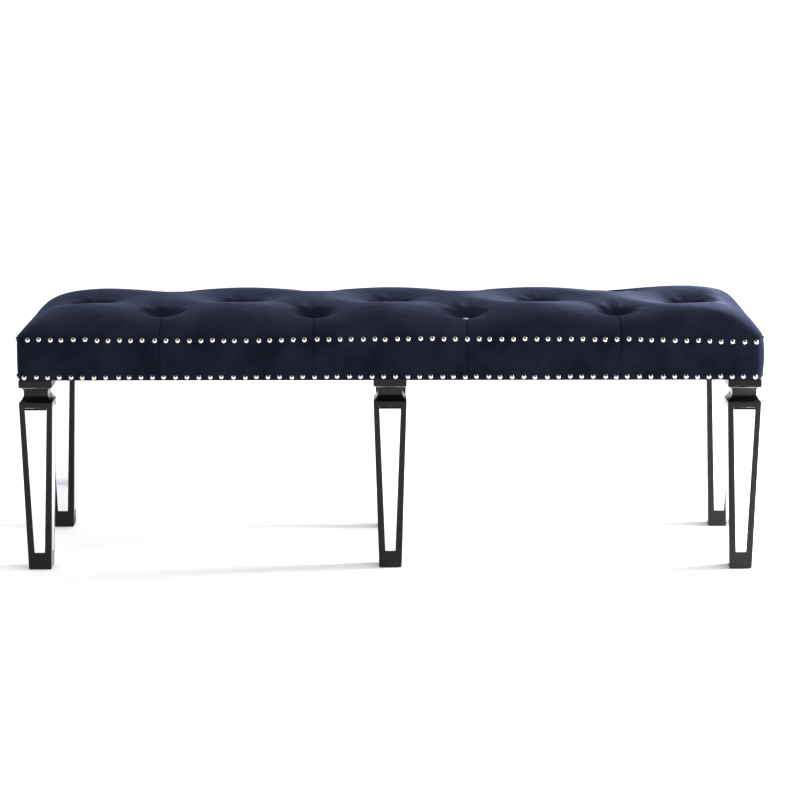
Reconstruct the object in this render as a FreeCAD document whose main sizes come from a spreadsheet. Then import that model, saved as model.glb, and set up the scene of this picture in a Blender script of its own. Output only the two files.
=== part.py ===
import FreeCAD, Part
import math
import os
import re
import Sketcher

Vector = FreeCAD.Vector
Rotation = FreeCAD.Rotation
Placement = FreeCAD.Placement

# Driving dimensions in millimetres, and counts. Each one is a cell of the Sizes sheet.
SIZES = {
    # overall
    "bench_length": 1410,
    "bench_depth": 410,
    "seat_underside": 370,
    "band_height": 83.5,
    "crown_rise": 51.5,
    "crown_run": 120,
    # cover
    "cover_thickness": 2,
    "corner_radius": 18,
    "hem_width": 25,
    "hem_roll": 3,
    "soft_gap": 0.3,
    # tufts
    "tuft_pitch": 290,
    "tuft_row_spacing": 113,
    "tuft_depth": 40,
    "tuft_floor_radius": 12,
    "tuft_rim_radius": 60,
    "rim_lift": 1.5,
    "pleat_depth": 9,
    "pleat_half_width": 28,
    "pleat_lip_inset": 50,
    "pleat_lip_rise": 27,
    "pleat_overrun": 4,
    "button_radius": 10,
    "button_height": 6,
    "twine_radius": 1.2,
    "twine_clearance": 0.4,
    "toggle_radius": 8,
    "toggle_height": 3,
    # nails
    "nail_radius": 4.75,
    "nail_height": 2.9,
    "nail_pitch": 21.9,
    "nail_end_inset": 15.15,
    "upper_nail_drop": 0.5,
    "lower_nail_lift": 7.5,
    # frame
    "rail_thickness": 18,
    "rail_height": 60,
    "deck_thickness": 12,
    "deck_hole_radius": 4,
    "corner_block_leg": 95,
    "block_height": 45,
    "middle_block_width": 80,
    "middle_block_depth": 60,
    "dust_cover_thickness": 0.8,
    "dust_cover_inset": 12,
    "dust_cover_notch_gap": 0.6,
    # legs
    "leg_reveal": 3,
    "middle_leg_setback": 12,
    "leg_top_width": 63,
    "leg_foot_width": 43,
    "foot_round": 2,
    "plinth_height": 14,
    "cove_height": 7,
    "cove_radius": 10.5,
    "neck_width": 46,
    "neck_height": 11,
    "collar_step": 1.6,
    "collar_height": 1.4,
    "flare_height": 9,
    "flare_radius": 14.4,
    "shoulder_height": 3,
    # mirror panels
    "mirror_start": 34,
    "mirror_length": 283,
    "mirror_foot_width": 19,
    "mirror_top_width": 41,
    "glass_thickness": 3,
    "bevel_width": 4,
    "bevel_depth": 0.8,
    "mirror_gap": 0.25,
    # leg bolts
    "bolt_radius": 4,
    "bolt_clearance": 0.3,
    "bolt_in_leg": 60,
    "bolt_above_nut": 3,
    "nut_across_corners": 15,
    "nut_height": 6.5,
}

# Lengths that follow from the driving dimensions.
DERIVED = {
    "half_length": "bench_length / 2",
    "half_depth": "bench_depth / 2",
    "band_top": "seat_underside + band_height",
    "crown_top": "band_top + crown_rise",
    "crown_radius": "(crown_run ^ 2 + crown_rise ^ 2) / (2 * crown_rise)",
    "frame_inset": "cover_thickness + soft_gap",
    "frame_half_length": "half_length - frame_inset",
    "frame_half_depth": "half_depth - frame_inset",
    "frame_corner_radius": "corner_radius - frame_inset",
    "inner_half_length": "frame_half_length - rail_thickness",
    "inner_half_depth": "frame_half_depth - rail_thickness",
    "rail_bottom": "seat_underside + cover_thickness",
    "rail_top": "rail_bottom + rail_height",
    "deck_top": "rail_top + deck_thickness",
    "leg_inset": "leg_reveal + leg_top_width / 2",
    "leg_column": "half_length - leg_inset",
    "leg_row": "half_depth - leg_inset",
    "middle_leg_row": "leg_row - middle_leg_setback",
    "shoulder_level": "seat_underside - plinth_height - cove_height - neck_height"
                      " - collar_height - flare_height - shoulder_height",
    "leg_lean": "atan((leg_top_width - leg_foot_width) / 2 / shoulder_level)",
    "mirror_start_half": "leg_foot_width / 2 + mirror_start * tan(leg_lean)",
    "tuft_drop": "tuft_depth + rim_lift",
    "tuft_flank": "((tuft_rim_radius - tuft_floor_radius) ^ 2 + tuft_drop ^ 2) / (2 * tuft_drop)",
    "pleat_drop": "pleat_depth + rim_lift",
    "pleat_flank": "(pleat_half_width ^ 2 + pleat_drop ^ 2) / (2 * pleat_drop)",
    "button_seat": "crown_top - tuft_depth",
}

ALIAS = re.compile(r"[a-z_]{4,}")
FRONT, LEFT, REAR, RIGHT = 0, 270, 180, 90

# Side of the bench that each column of legs is on, and how far its legs stand from mid depth.
LEG_COLUMNS = ((-1, "leg_row"), (0, "middle_leg_row"), (1, "leg_row"))

# Flat sides of the small round pieces, and the share of a head's radius that its flat top takes.
BOLT_SIDES = 12
BUTTON_SIDES = 12
HOLE_SIDES = 8
ROD_SIDES = 6
HEAD_TOP = 0.55


def expression(text):
    """The text with each derived length written out and each size named as a cell of the sheet."""
    def cell(match):
        name = match.group(0)
        if name in DERIVED:
            return "(" + expression(DERIVED[name]) + ")"
        return "Sizes." + name if name in SIZES else name
    return ALIAS.sub(cell, text)


document = FreeCAD.newDocument("UpholsteredBench")
sheet = document.addObject("Spreadsheet::Sheet", "Sizes")
for row, (alias, value) in enumerate(SIZES.items(), start=1):
    sheet.set(f"A{row}", alias)
    sheet.set(f"B{row}", str(value))
    sheet.setAlias(f"B{row}", alias)
document.recompute()

parts = []


def value(text):
    """The present value of an expression, for first positions and for loops."""
    result = sheet.evalExpression(expression(text))
    return result.Value if hasattr(result, "Value") else float(result)


def bind(item, name, text):
    item.setExpression(name, expression(text))


def piece(item, label):
    """Marks an object as a sub-part that gets a file of its own."""
    item.Label = label
    parts.append(item)
    return item


def sketch_in(body, role="XY_Plane", rise=None, across=None, along=None, turn=None):
    """A sketch on one of the body's origin planes. rise is its distance out of the plane,
    along and across move it in the plane, and turn is (axis, angle in degrees)."""
    sketch = body.newObject("Sketcher::SketchObject", body.Label + "_sketch")
    plane = next(item for item in body.Origin.OriginFeatures if item.Role == role)
    sketch.AttachmentSupport = [(plane, "")]
    sketch.MapMode = "FlatFace"
    if turn:
        axis, angle = turn
        sketch.AttachmentOffset = Placement(Vector(), Rotation(axis, 1))
        bind(sketch, "AttachmentOffset.Rotation.Angle", angle)
    for axis, text in (("x", across), ("y", along), ("z", rise)):
        if text:
            bind(sketch, "AttachmentOffset.Base." + axis, text)
    return sketch


def arc_between(start, end, radius, side):
    """The arc under a half circle from start to end, bulging left of that way for side 1."""
    chord = end - start
    left = Vector(-chord.y, chord.x, 0).normalize()
    sagitta = radius - math.sqrt(radius ** 2 - chord.Length ** 2 / 4)
    return Part.Arc(start, (start + end) / 2 + left * sagitta * side, end)


def outline(sketch, corners):
    """Draws a closed outline. A corner is (x, y) or (x, y, radius, side), as expressions;
    the last two give the arc that leaves the corner for the next one."""
    points = [Vector(value(corner[0]), value(corner[1]), 0) for corner in corners]
    ends = []
    for number, corner in enumerate(corners):
        start = points[number]
        end = points[(number + 1) % len(points)]
        if len(corner) == 2:
            edge = sketch.addGeometry(Part.LineSegment(start, end), False)
        else:
            edge = sketch.addGeometry(arc_between(start, end, value(corner[2]), corner[3]), False)
            curve = sketch.addConstraint(Sketcher.Constraint("Radius", edge, value(corner[2])))
            bind(sketch, f"Constraints[{curve}]", corner[2])
        first = 1 if sketch.getPoint(edge, 1).distanceToPoint(start) < 1e-6 else 2
        ends.append((edge, first, 3 - first))
        for kind, text, now in (("DistanceX", corner[0], start.x), ("DistanceY", corner[1], start.y)):
            rule = Sketcher.Constraint(kind, -1, 1, edge, first, now)
            bind(sketch, f"Constraints[{sketch.addConstraint(rule)}]", text)
    for this, following in zip(ends, ends[1:] + ends[:1]):
        meeting = Sketcher.Constraint("Coincident", this[0], this[2], following[0], following[1])
        sketch.addConstraint(meeting)
    return sketch


def rectangle(x_low, x_high, y_low, y_high):
    return [(x_low, y_low), (x_high, y_low), (x_high, y_high), (x_low, y_high)]


def rounded_rectangle(half_x, half_y, radius):
    """Corners of a centred rectangle with its four corners rounded."""
    inner_x = f"({half_x} - {radius})"
    inner_y = f"({half_y} - {radius})"
    return [
        (f"-{inner_x}", f"-({half_y})"),
        (inner_x, f"-({half_y})", radius, -1),
        (half_x, f"-{inner_y}"),
        (half_x, inner_y, radius, -1),
        (inner_x, half_y),
        (f"-{inner_x}", half_y, radius, -1),
        (f"-({half_x})", inner_y),
        (f"-({half_x})", f"-{inner_y}", radius, -1),
    ]


def new_body(label):
    body = document.addObject("PartDesign::Body", label)
    body.Label = label
    return body


def pad(body, sketch, height):
    feature = body.newObject("PartDesign::Pad", body.Label + "_pad")
    feature.Profile = sketch
    bind(feature, "Length", height)
    return feature


def slab(label, corners, bottom, height):
    """A piece of one thickness: its outline, level of its underside, and thickness."""
    body = new_body(label)
    pad(body, outline(sketch_in(body, rise=bottom), corners), height)
    return body


def copy_of(master, label, across, along, turn=0):
    """A body with the master's shape, turned about Z and set at (across, along)."""
    body = new_body(label)
    base = body.newObject("PartDesign::FeatureBase", label + "_base")
    base.BaseFeature = master
    body.Tip = base
    body.Placement = Placement(Vector(), Rotation(Vector(0, 0, 1), turn))
    bind(body, "Placement.Base.x", across)
    bind(body, "Placement.Base.y", along)
    return body


# Plain shapes with flat sides, for what repeats many times.

def faceted_turning(profile, sides):
    """A solid turned about Z, drawn with flat sides, through (radius, level) pairs from low to high."""
    rings = []
    for radius, level in profile:
        angles = [2 * math.pi * (side + 0.5) / sides for side in range(sides)]
        rings.append([
            Vector(radius * math.cos(angle), radius * math.sin(angle), level) for angle in angles
        ])
    faces = [flat_face(rings[0]), flat_face(rings[-1])]
    for low, high in zip(rings, rings[1:]):
        for side in range(sides):
            following = (side + 1) % sides
            faces.append(flat_face([low[side], low[following], high[following], high[side]]))
    return Part.Solid(Part.Shell(faces))


def flat_face(corners):
    return Part.Face(Part.makePolygon(corners + corners[:1]))


def upright_rod(sides, radius, height):
    return faceted_turning([(radius, 0), (radius, height)], sides)


def domed_head(sides, radius, height):
    return faceted_turning([(radius, 0), (HEAD_TOP * radius, height)], sides)


# Seat frame: rails, cross rails and the blocks that the legs bolt to.

def long_rail(label, side):
    """Front or rear rail, rounded at its two outer corners. side is -1 at the front."""
    outer = f"{side} * frame_half_depth"
    inner = f"{side} * inner_half_depth"
    turning = f"{side} * (frame_half_depth - frame_corner_radius)"
    flat = "(frame_half_length - frame_corner_radius)"
    corners = [
        ("-frame_half_length", inner),
        ("-frame_half_length", turning, "frame_corner_radius", -side),
        (f"-{flat}", outer),
        (flat, outer, "frame_corner_radius", -side),
        ("frame_half_length", turning),
        ("frame_half_length", inner),
    ]
    return piece(slab(label, corners, "rail_bottom", "rail_height"), label)


def end_rail(label, side):
    corners = rectangle(
        f"{side} * inner_half_length", f"{side} * frame_half_length",
        "-inner_half_depth", "inner_half_depth",
    )
    return piece(slab(label, corners, "rail_bottom", "rail_height"), label)


def cross_rail(label, side):
    corners = rectangle(
        f"{side} * middle_block_width / 2", f"{side} * (middle_block_width / 2 + rail_thickness)",
        "-inner_half_depth", "inner_half_depth",
    )
    return piece(slab(label, corners, "rail_bottom", "rail_height"), label)


def bolt_hole(body, top, across="0", along="0"):
    """A hole for a leg bolt, as deep as the bolt is long, down from the given level."""
    sketch = sketch_in(body, rise=top, across=across, along=along)
    radius = "(bolt_radius + bolt_clearance)"
    turns = [360 * (side + 0.5) / BOLT_SIDES for side in range(BOLT_SIDES)]
    outline(sketch, [(f"{radius} * cos({turn})", f"{radius} * sin({turn})") for turn in turns])
    feature = body.newObject("PartDesign::Pocket", body.Label + "_bolt_hole")
    feature.Profile = sketch
    bind(feature, "Length", "bolt_in_leg")
    return feature


def corner_block_shape():
    """The front left block: a glued triangle with its sharp tips cut off."""
    tip = "(rail_thickness / 2)"
    corners = [
        ("0", "0"),
        ("corner_block_leg", "0"),
        ("corner_block_leg", tip),
        (tip, "corner_block_leg"),
        ("0", "corner_block_leg"),
    ]
    body = slab("corner_block_shape", corners, "rail_bottom", "block_height")
    document.recompute()
    at_leg = "inner_half_depth - leg_row"
    bolt_hole(body, "rail_bottom + block_height", across=at_leg, along=at_leg)
    return body


def middle_block_shape():
    """The block behind the front rail at mid length, between the cross rails."""
    corners = rectangle("-middle_block_width / 2", "middle_block_width / 2", "0", "middle_block_depth")
    body = slab("middle_block_shape", corners, "rail_bottom", "block_height")
    document.recompute()
    bolt_hole(body, "rail_bottom + block_height", along="inner_half_depth - middle_leg_row")
    return body


def seat_frame():
    long_rail("front_rail", -1)
    long_rail("rear_rail", 1)
    end_rail("left_end_rail", -1)
    end_rail("right_end_rail", 1)
    cross_rail("left_cross_rail", -1)
    cross_rail("right_cross_rail", 1)
    corner = corner_block_shape()
    middle = middle_block_shape()
    places = (
        ("front_left", -1, -1, 0), ("front_right", 1, -1, 90),
        ("rear_right", 1, 1, 180), ("rear_left", -1, 1, 270),
    )
    for name, x_side, y_side, turn in places:
        label = name + "_corner_block"
        across = f"{x_side} * inner_half_length"
        along = f"{y_side} * inner_half_depth"
        piece(copy_of(corner, label, across, along, turn), label)
    piece(copy_of(middle, "front_middle_block", "0", "-inner_half_depth"), "front_middle_block")
    piece(copy_of(middle, "rear_middle_block", "0", "inner_half_depth", 180), "rear_middle_block")


# Tufts: three rows in a diamond, four in the front and rear rows and five in the middle one.

TUFT_ROWS = ((-1, 4), (0, 5), (1, 4))


def tuft_places():
    """The centre of every tuft."""
    pitch = value("tuft_pitch")
    spacing = value("tuft_row_spacing")
    return [
        Vector((column - (count - 1) / 2) * pitch, row * spacing, 0)
        for row, count in TUFT_ROWS for column in range(count)
    ]


def seat_deck():
    """Plywood, with a hole under every tuft."""
    board = slab(
        "deck_board",
        rounded_rectangle("frame_half_length", "frame_half_depth", "frame_corner_radius"),
        "rail_top", "deck_thickness",
    )
    hole = upright_rod(HOLE_SIDES, value("deck_hole_radius"), value("deck_thickness"))
    rise = Vector(0, 0, value("rail_top"))
    holes = document.addObject("Part::Feature", "deck_holes")
    holes.Shape = Part.Compound([hole.translated(place + rise) for place in tuft_places()])
    deck = document.addObject("Part::Cut", "seat_deck")
    deck.Base = board
    deck.Tool = holes
    return piece(deck, "seat_deck")


# Tufted cushion: one form, used for the outside of the cover, its inside, and the foam.

def prism(label, corners, turn, length):
    """An outline extruded evenly to both sides of the plane X-Z, then turned about Z."""
    sketch = document.addObject("Sketcher::SketchObject", label + "_outline")
    sketch.Placement = Placement(Vector(), Rotation(Vector(1, 0, 0), 90))
    outline(sketch, corners)
    extrusion = document.addObject("Part::Extrusion", label)
    extrusion.Base = sketch
    extrusion.DirMode = "Normal"
    extrusion.Symmetric = True
    extrusion.Solid = True
    bind(extrusion, "LengthFwd", length)
    extrusion.Placement = Placement(Vector(), Rotation(Vector(0, 0, 1), turn))
    return extrusion


def crown_corners(half, bottom, inset, roll):
    """The end view of the seat: upright sides, drawn in by roll at the bottom, and an arched top."""
    side = f"({half} - {inset})"
    top = f"(crown_top - {inset})"
    flat = f"({side} - crown_run)"
    if roll:
        left_foot = [(f"-{side}", f"{bottom} + {roll}"), (f"-({side} - {roll})", bottom)]
        right_foot = [(f"{side} - {roll}", bottom), (side, f"{bottom} + {roll}")]
    else:
        left_foot = [(f"-{side}", bottom)]
        right_foot = [(side, bottom)]
    return left_foot + right_foot + [
        (side, f"band_top - {inset}", "crown_radius", -1),
        (flat, top),
        (f"-{flat}", top, "crown_radius", -1),
        (f"-{side}", f"band_top - {inset}"),
    ]


def crowned_block(label, bottom, inset, roll=None):
    """The two end views crossed with the rounded plan."""
    corners = rounded_rectangle(
        f"(half_length - {inset})", f"(half_depth - {inset})", f"(corner_radius - {inset})"
    )
    plan = slab(label + "_plan", corners, bottom, "crown_top")
    block = document.addObject("Part::MultiCommon", label)
    block.Shapes = [
        plan,
        prism(label + "_front", crown_corners("half_length", bottom, inset, roll), 0, "bench_length"),
        prism(label + "_side", crown_corners("half_depth", bottom, inset, roll), 90, "bench_length"),
    ]
    document.recompute()
    return block


def flank(radius, low, width, steps):
    """Points down the side of a fold, from its rim to its floor, on an arc that starts level."""
    steepest = math.asin(width / radius)
    angles = [steepest * step / steps for step in range(steps + 1)]
    return [(width - radius * math.sin(angle), low - radius * (1 - math.cos(angle))) for angle in angles]


def tuft_funnel(place, inset, sides, steps):
    """A funnel, wide and flat at its rim and steep above the button."""
    floor_radius = value("tuft_floor_radius") + inset
    rim = value("crown_top + rim_lift") - inset
    width = value("tuft_rim_radius - tuft_floor_radius")
    side = flank(value("tuft_flank"), rim, width, steps)
    to_corners = 1 / math.cos(math.pi / sides)
    profile = [((floor_radius + out) * to_corners, level) for out, level in reversed(side)]
    profile.append((profile[-1][0], rim + value("crown_rise")))
    return faceted_turning(profile, sides).translated(place)


def pleat_valley(start, end, inset, steps):
    """A valley whose floor runs straight from start to end."""
    side = flank(value("pleat_flank"), value("pleat_drop"), value("pleat_half_width"), steps)
    above = value("pleat_drop + crown_rise")
    right = [(out, rise - inset) for out, rise in reversed(side)]
    section = right + [(side[0][0], above), (-side[0][0], above)]
    section += [(-out, rise) for out, rise in reversed(right[1:])]
    way = (end - start).normalize()
    across = way.cross(Vector(0, 0, 1)).normalize()
    up = across.cross(way)
    corners = [start + across * out + up * rise for out, rise in section]
    return Part.Face(Part.makePolygon(corners + corners[:1])).extrude(end - start)


def pleat_lines():
    """Start and end of each valley's floor: from tuft to tuft, and down to the edge of the band."""
    floor = value("crown_top - pleat_depth")
    spacing = value("tuft_row_spacing")
    pitch = value("tuft_pitch")
    slope = value("pleat_lip_rise / pleat_lip_inset")
    edge = value("half_depth")
    overrun = value("pleat_overrun")
    middle = [place for place in tuft_places() if place.y == 0]
    lines = []
    for place in tuft_places():
        if place.y == 0:
            continue
        level = Vector(0, 0, floor)
        lines += [(place + level, tuft + level) for tuft in middle if abs(tuft.x - place.x) < pitch]
        side = 1 if place.y > 0 else -1
        lines.append((
            Vector(place.x, place.y, value("band_top") + slope * (edge - spacing)),
            Vector(place.x, side * (edge + overrun), value("band_top") - slope * overrun),
        ))
    return lines


def twine_bores(bottom, top):
    radius = value("twine_radius + twine_clearance")
    return [
        faceted_turning([(radius, bottom), (radius, top)], ROD_SIDES).translated(place)
        for place in tuft_places()
    ]


def tufted(label, block, inset, sides=8, steps=2):
    """The block with its tufts, pleats and twine bores cut in. Fewer sides and steps will do
    where the folds are out of sight."""
    depth = value(inset)
    tools = [tuft_funnel(place, depth, sides, steps) for place in tuft_places()]
    tools += [pleat_valley(start, end, depth, steps - 1) for start, end in pleat_lines()]
    tools += twine_bores(value("rail_top"), value("crown_top"))
    form = document.addObject("Part::Feature", label)
    form.Shape = block.Shape.cut(tools)
    return form


def foam_pad():
    block = crowned_block("foam_block", "deck_top", "frame_inset")
    return piece(tufted("foam_pad", block, "frame_inset"), "foam_pad")


def velvet_cover():
    """A skin over the crown and the rails, turned in under the rails as a hem. The cut for the
    opening inside the hem reaches one thickness past it below and above."""
    cover_block = crowned_block("cover_block", "seat_underside", "0", "hem_roll")
    lining_block = crowned_block("lining_block", "rail_bottom", "cover_thickness")
    outside = tufted("cover_outside", cover_block, "0", sides=12, steps=3)
    inside = tufted("cover_inside", lining_block, "cover_thickness")
    opening = slab(
        "hem_opening",
        rectangle("-(half_length - hem_width)", "half_length - hem_width",
                  "-(half_depth - hem_width)", "half_depth - hem_width"),
        "seat_underside - cover_thickness", "3 * cover_thickness",
    )
    space = document.addObject("Part::MultiFuse", "cover_space")
    space.Shapes = [inside, opening]
    cover = document.addObject("Part::Cut", "velvet_cover")
    cover.Base = outside
    cover.Tool = space
    return piece(cover, "velvet_cover")


def dust_cover():
    """Thin cambric under the seat, notched round the legs."""
    body = slab(
        "dust_cover",
        rectangle("-(half_length - dust_cover_inset)", "half_length - dust_cover_inset",
                  "-(half_depth - dust_cover_inset)", "half_depth - dust_cover_inset"),
        "seat_underside - dust_cover_thickness", "dust_cover_thickness",
    )
    document.recompute()
    sketch = sketch_in(body, rise="seat_underside")
    reach = "(leg_top_width / 2 + dust_cover_notch_gap)"
    for x_side, row in LEG_COLUMNS:
        for y_side in (-1, 1):
            centre_x = f"{x_side} * leg_column"
            centre_y = f"{y_side} * {row}"
            outline(sketch, rectangle(
                f"{centre_x} - {reach}", f"{centre_x} + {reach}",
                f"{centre_y} - {reach}", f"{centre_y} + {reach}",
            ))
    feature = body.newObject("PartDesign::Pocket", "leg_notches")
    feature.Profile = sketch
    bind(feature, "Length", "dust_cover_thickness")
    return piece(body, "dust_cover")


# Small repeated pieces: one shape each, copied to all its places within one piece.

def group(label, shape, places):
    """Separate copies of one shape, kept together as one piece."""
    copies = []
    for place in places:
        copy = shape.copy()
        copy.Placement = place
        copies.append(copy)
    item = document.addObject("Part::Feature", label)
    item.Shape = Part.Compound(copies)
    return piece(item, label)


def tuft_fittings():
    """Buttons on the floors of the tufts, and the twines and toggles that hold them down."""
    button = domed_head(BUTTON_SIDES, value("button_radius"), value("button_height"))
    twine = upright_rod(ROD_SIDES, value("twine_radius"), value("button_seat - rail_top"))
    toggle = upright_rod(ROD_SIDES, value("toggle_radius"), value("toggle_height"))
    levels = (
        ("tuft_buttons", button, "button_seat"),
        ("tuft_twines", twine, "rail_top"),
        ("twine_toggles", toggle, "rail_top - toggle_height"),
    )
    for label, shape, level in levels:
        rise = Vector(0, 0, value(level))
        group(label, shape, [Placement(place + rise, Rotation()) for place in tuft_places()])


def nail_places(level, facing):
    """Places of the nails of one row on one side; the head's axis points outwards. The pitch
    gives the number of nails, and the nails share the length of the row evenly."""
    half_row, reach = value("half_length"), value("half_depth")
    if facing in (LEFT, RIGHT):
        half_row, reach = reach, half_row
    half_row -= value("nail_end_inset")
    spaces = round(2 * half_row / value("nail_pitch"))
    turn = Rotation(Vector(0, 0, 1), facing)
    upright = Rotation(Vector(1, 0, 0), 90)
    places = []
    for number in range(spaces + 1):
        along = (2 * number / spaces - 1) * half_row
        place = turn.multVec(Vector(along, -reach, 0))
        places.append(Placement(place + Vector(0, 0, level), turn.multiply(upright)))
    return places


def nail_rows():
    nail = domed_head(ROD_SIDES, value("nail_radius"), value("nail_height"))
    rows = (
        ("upper_nails", "band_top - upper_nail_drop - nail_radius"),
        ("lower_nails", "seat_underside + lower_nail_lift"),
    )
    for name, level in rows:
        for side, facing in (("front", FRONT), ("rear", REAR), ("left", LEFT), ("right", RIGHT)):
            group(f"{side}_{name}", nail, nail_places(value(level), facing))


# Legs: two crossed profiles give the mitred mouldings, then a recess in each face. The two
# middle ones stand a little further in than those at the corners.

def leg_corners():
    """The right half of the leg's outline, from the foot to the top."""
    return [
        ("leg_foot_width / 2 - foot_round", "0"),
        ("leg_foot_width / 2 + foot_round * tan(leg_lean)", "foot_round"),
        ("leg_top_width / 2", "shoulder_level"),
        ("leg_top_width / 2", "shoulder_level + shoulder_height", "flare_radius", 1),
        ("neck_width / 2 + collar_step", "shoulder_level + shoulder_height + flare_height"),
        ("neck_width / 2 + collar_step",
         "shoulder_level + shoulder_height + flare_height + collar_height"),
        ("neck_width / 2", "shoulder_level + shoulder_height + flare_height + collar_height"),
        ("neck_width / 2", "seat_underside - plinth_height - cove_height", "cove_radius", 1),
        ("leg_top_width / 2", "seat_underside - plinth_height"),
        ("leg_top_width / 2", "seat_underside"),
    ]


def leg_shape():
    right = leg_corners()
    left = []
    for number in range(len(right) - 1, -1, -1):
        corner = right[number]
        before = right[number - 1] if number else corner
        mirrored = ("-(" + corner[0] + ")", corner[1])
        if number and len(before) == 4:
            mirrored += (before[2], before[3])
        left.append(mirrored)
    sketch = document.addObject("Sketcher::SketchObject", "leg_outline")
    sketch.Placement = Placement(Vector(), Rotation(Vector(1, 0, 0), 90))
    outline(sketch, right + left)
    crossed = []
    for turn in (0, 90):
        extrusion = document.addObject("Part::Extrusion", "leg_profile")
        extrusion.Base = sketch
        extrusion.DirMode = "Normal"
        extrusion.Symmetric = True
        extrusion.Solid = True
        bind(extrusion, "LengthFwd", "leg_top_width + leg_reveal")
        extrusion.Placement = Placement(Vector(), Rotation(Vector(0, 0, 1), turn))
        crossed.append(extrusion)
    turned = document.addObject("Part::MultiCommon", "leg_crossed")
    turned.Shapes = crossed
    document.recompute()
    body = new_body("leg_shape")
    base = body.newObject("PartDesign::FeatureBase", "leg_base")
    base.BaseFeature = turned
    document.recompute()
    recess = body.newObject("PartDesign::Pocket", "mirror_recess")
    recess.Profile = outline(face_sketch(body), trapezoid("mirror_gap"))
    bind(recess, "Length", "glass_thickness")
    document.recompute()
    pattern = body.newObject("PartDesign::PolarPattern", "recesses")
    pattern.Originals = [recess]
    z_axis = next(item for item in body.Origin.OriginFeatures if item.Role == "Z_Axis")
    pattern.Axis = (z_axis, [""])
    pattern.Angle = 360
    pattern.Occurrences = 4
    body.Tip = pattern
    document.recompute()
    bolt_hole(body, "seat_underside")
    return body


def face_sketch(body, rise=None):
    """A sketch in the slanted front face of the leg, with its origin at the foot of the mirror."""
    outward = "mirror_start_half" + (f" + ({rise}) / cos(leg_lean)" if rise else "")
    return sketch_in(
        body, "XZ_Plane", rise=outward, along="mirror_start", turn=(Vector(1, 0, 0), "leg_lean"),
    )


def trapezoid(grow):
    """The mirror's outline in its face, larger all round by grow."""
    return [
        (f"-(mirror_foot_width / 2 + {grow})", f"-({grow})"),
        (f"mirror_foot_width / 2 + {grow}", f"-({grow})"),
        (f"mirror_top_width / 2 + {grow}", f"mirror_length + {grow}"),
        (f"-(mirror_top_width / 2 + {grow})", f"mirror_length + {grow}"),
    ]


def mirror_shape():
    """A glass panel with its back on the floor of the recess and a bevel round its front."""
    body = new_body("mirror_shape")
    back = outline(face_sketch(body, "-glass_thickness"), trapezoid("0"))
    glass = pad(body, back, "glass_thickness")
    document.recompute()
    front = min(glass.Shape.Faces, key=lambda face: face.CenterOfMass.y)
    edges = [
        f"Edge{number}" for number, edge in enumerate(glass.Shape.Edges, start=1)
        if any(edge.isSame(rim) for rim in front.Edges)
    ]
    bevel = body.newObject("PartDesign::Chamfer", "bevel")
    bevel.Base = (glass, edges)
    bevel.ChamferType = "Two distances"
    bind(bevel, "Size", "bevel_depth")
    bind(bevel, "Size2", "bevel_width")
    return body


def legs():
    leg = leg_shape()
    mirror = mirror_shape()
    document.recompute()
    faces = (("front", FRONT), ("right", RIGHT), ("rear", REAR), ("left", LEFT))
    for y_side, side in ((-1, "front"), (1, "rear")):
        for (x_side, row), column in zip(LEG_COLUMNS, ("left", "middle", "right")):
            across = f"{x_side} * leg_column"
            along = f"{y_side} * {row}"
            name = f"{side}_{column}_leg"
            piece(copy_of(leg, name, across, along), name)
            for face, turn in faces:
                label = f"{name}_{face}_mirror"
                piece(copy_of(mirror, label, across, along, turn), label)


def leg_bolts():
    """A hanger bolt in each leg, up through its block, with a nut on the block."""
    nut_level = value("rail_bottom + block_height")
    bolt_foot = value("seat_underside - bolt_in_leg")
    bolt_top = nut_level + value("nut_height + bolt_above_nut")
    bolt = upright_rod(BOLT_SIDES, value("bolt_radius"), bolt_top - bolt_foot)
    bore = upright_rod(BOLT_SIDES, value("bolt_radius + bolt_clearance"), value("nut_height"))
    nut = upright_rod(ROD_SIDES, value("nut_across_corners / 2"), value("nut_height")).cut(bore)
    centres = [
        Vector(x_side * value("leg_column"), y_side * value(row), 0)
        for y_side in (-1, 1) for x_side, row in LEG_COLUMNS
    ]
    for label, shape, level in (("leg_bolts", bolt, bolt_foot), ("leg_nuts", nut, nut_level)):
        rise = Vector(0, 0, level)
        group(label, shape, [Placement(centre + rise, Rotation()) for centre in centres])


seat_frame()
seat_deck()
foam_pad()
velvet_cover()
tuft_fittings()
nail_rows()
dust_cover()
legs()
leg_bolts()
document.recompute()

for item in document.Objects:
    if "Invalid" in item.State or "Error" in item.State:
        raise RuntimeError(f"{item.Label} failed: {item.State}")
for item in parts:
    if item.Shape.isNull() or not item.Shape.isValid() or not item.Shape.Solids:
        raise RuntimeError(f"{item.Label} has no valid solid")

os.makedirs("parts", exist_ok=True)
for item in parts:
    item.Shape.exportStep(f"parts/{item.Label}.step")
print(len(parts), "pieces written")
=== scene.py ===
"""Upholstered bench: diamond tufted velvet seat with nail trim, on tapered black legs with let-in mirrors."""

import math
import random

import bpy
import numpy as np
from bpy.props import FloatProperty, FloatVectorProperty, IntProperty, PointerProperty
from mathutils import Matrix, Vector


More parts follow.
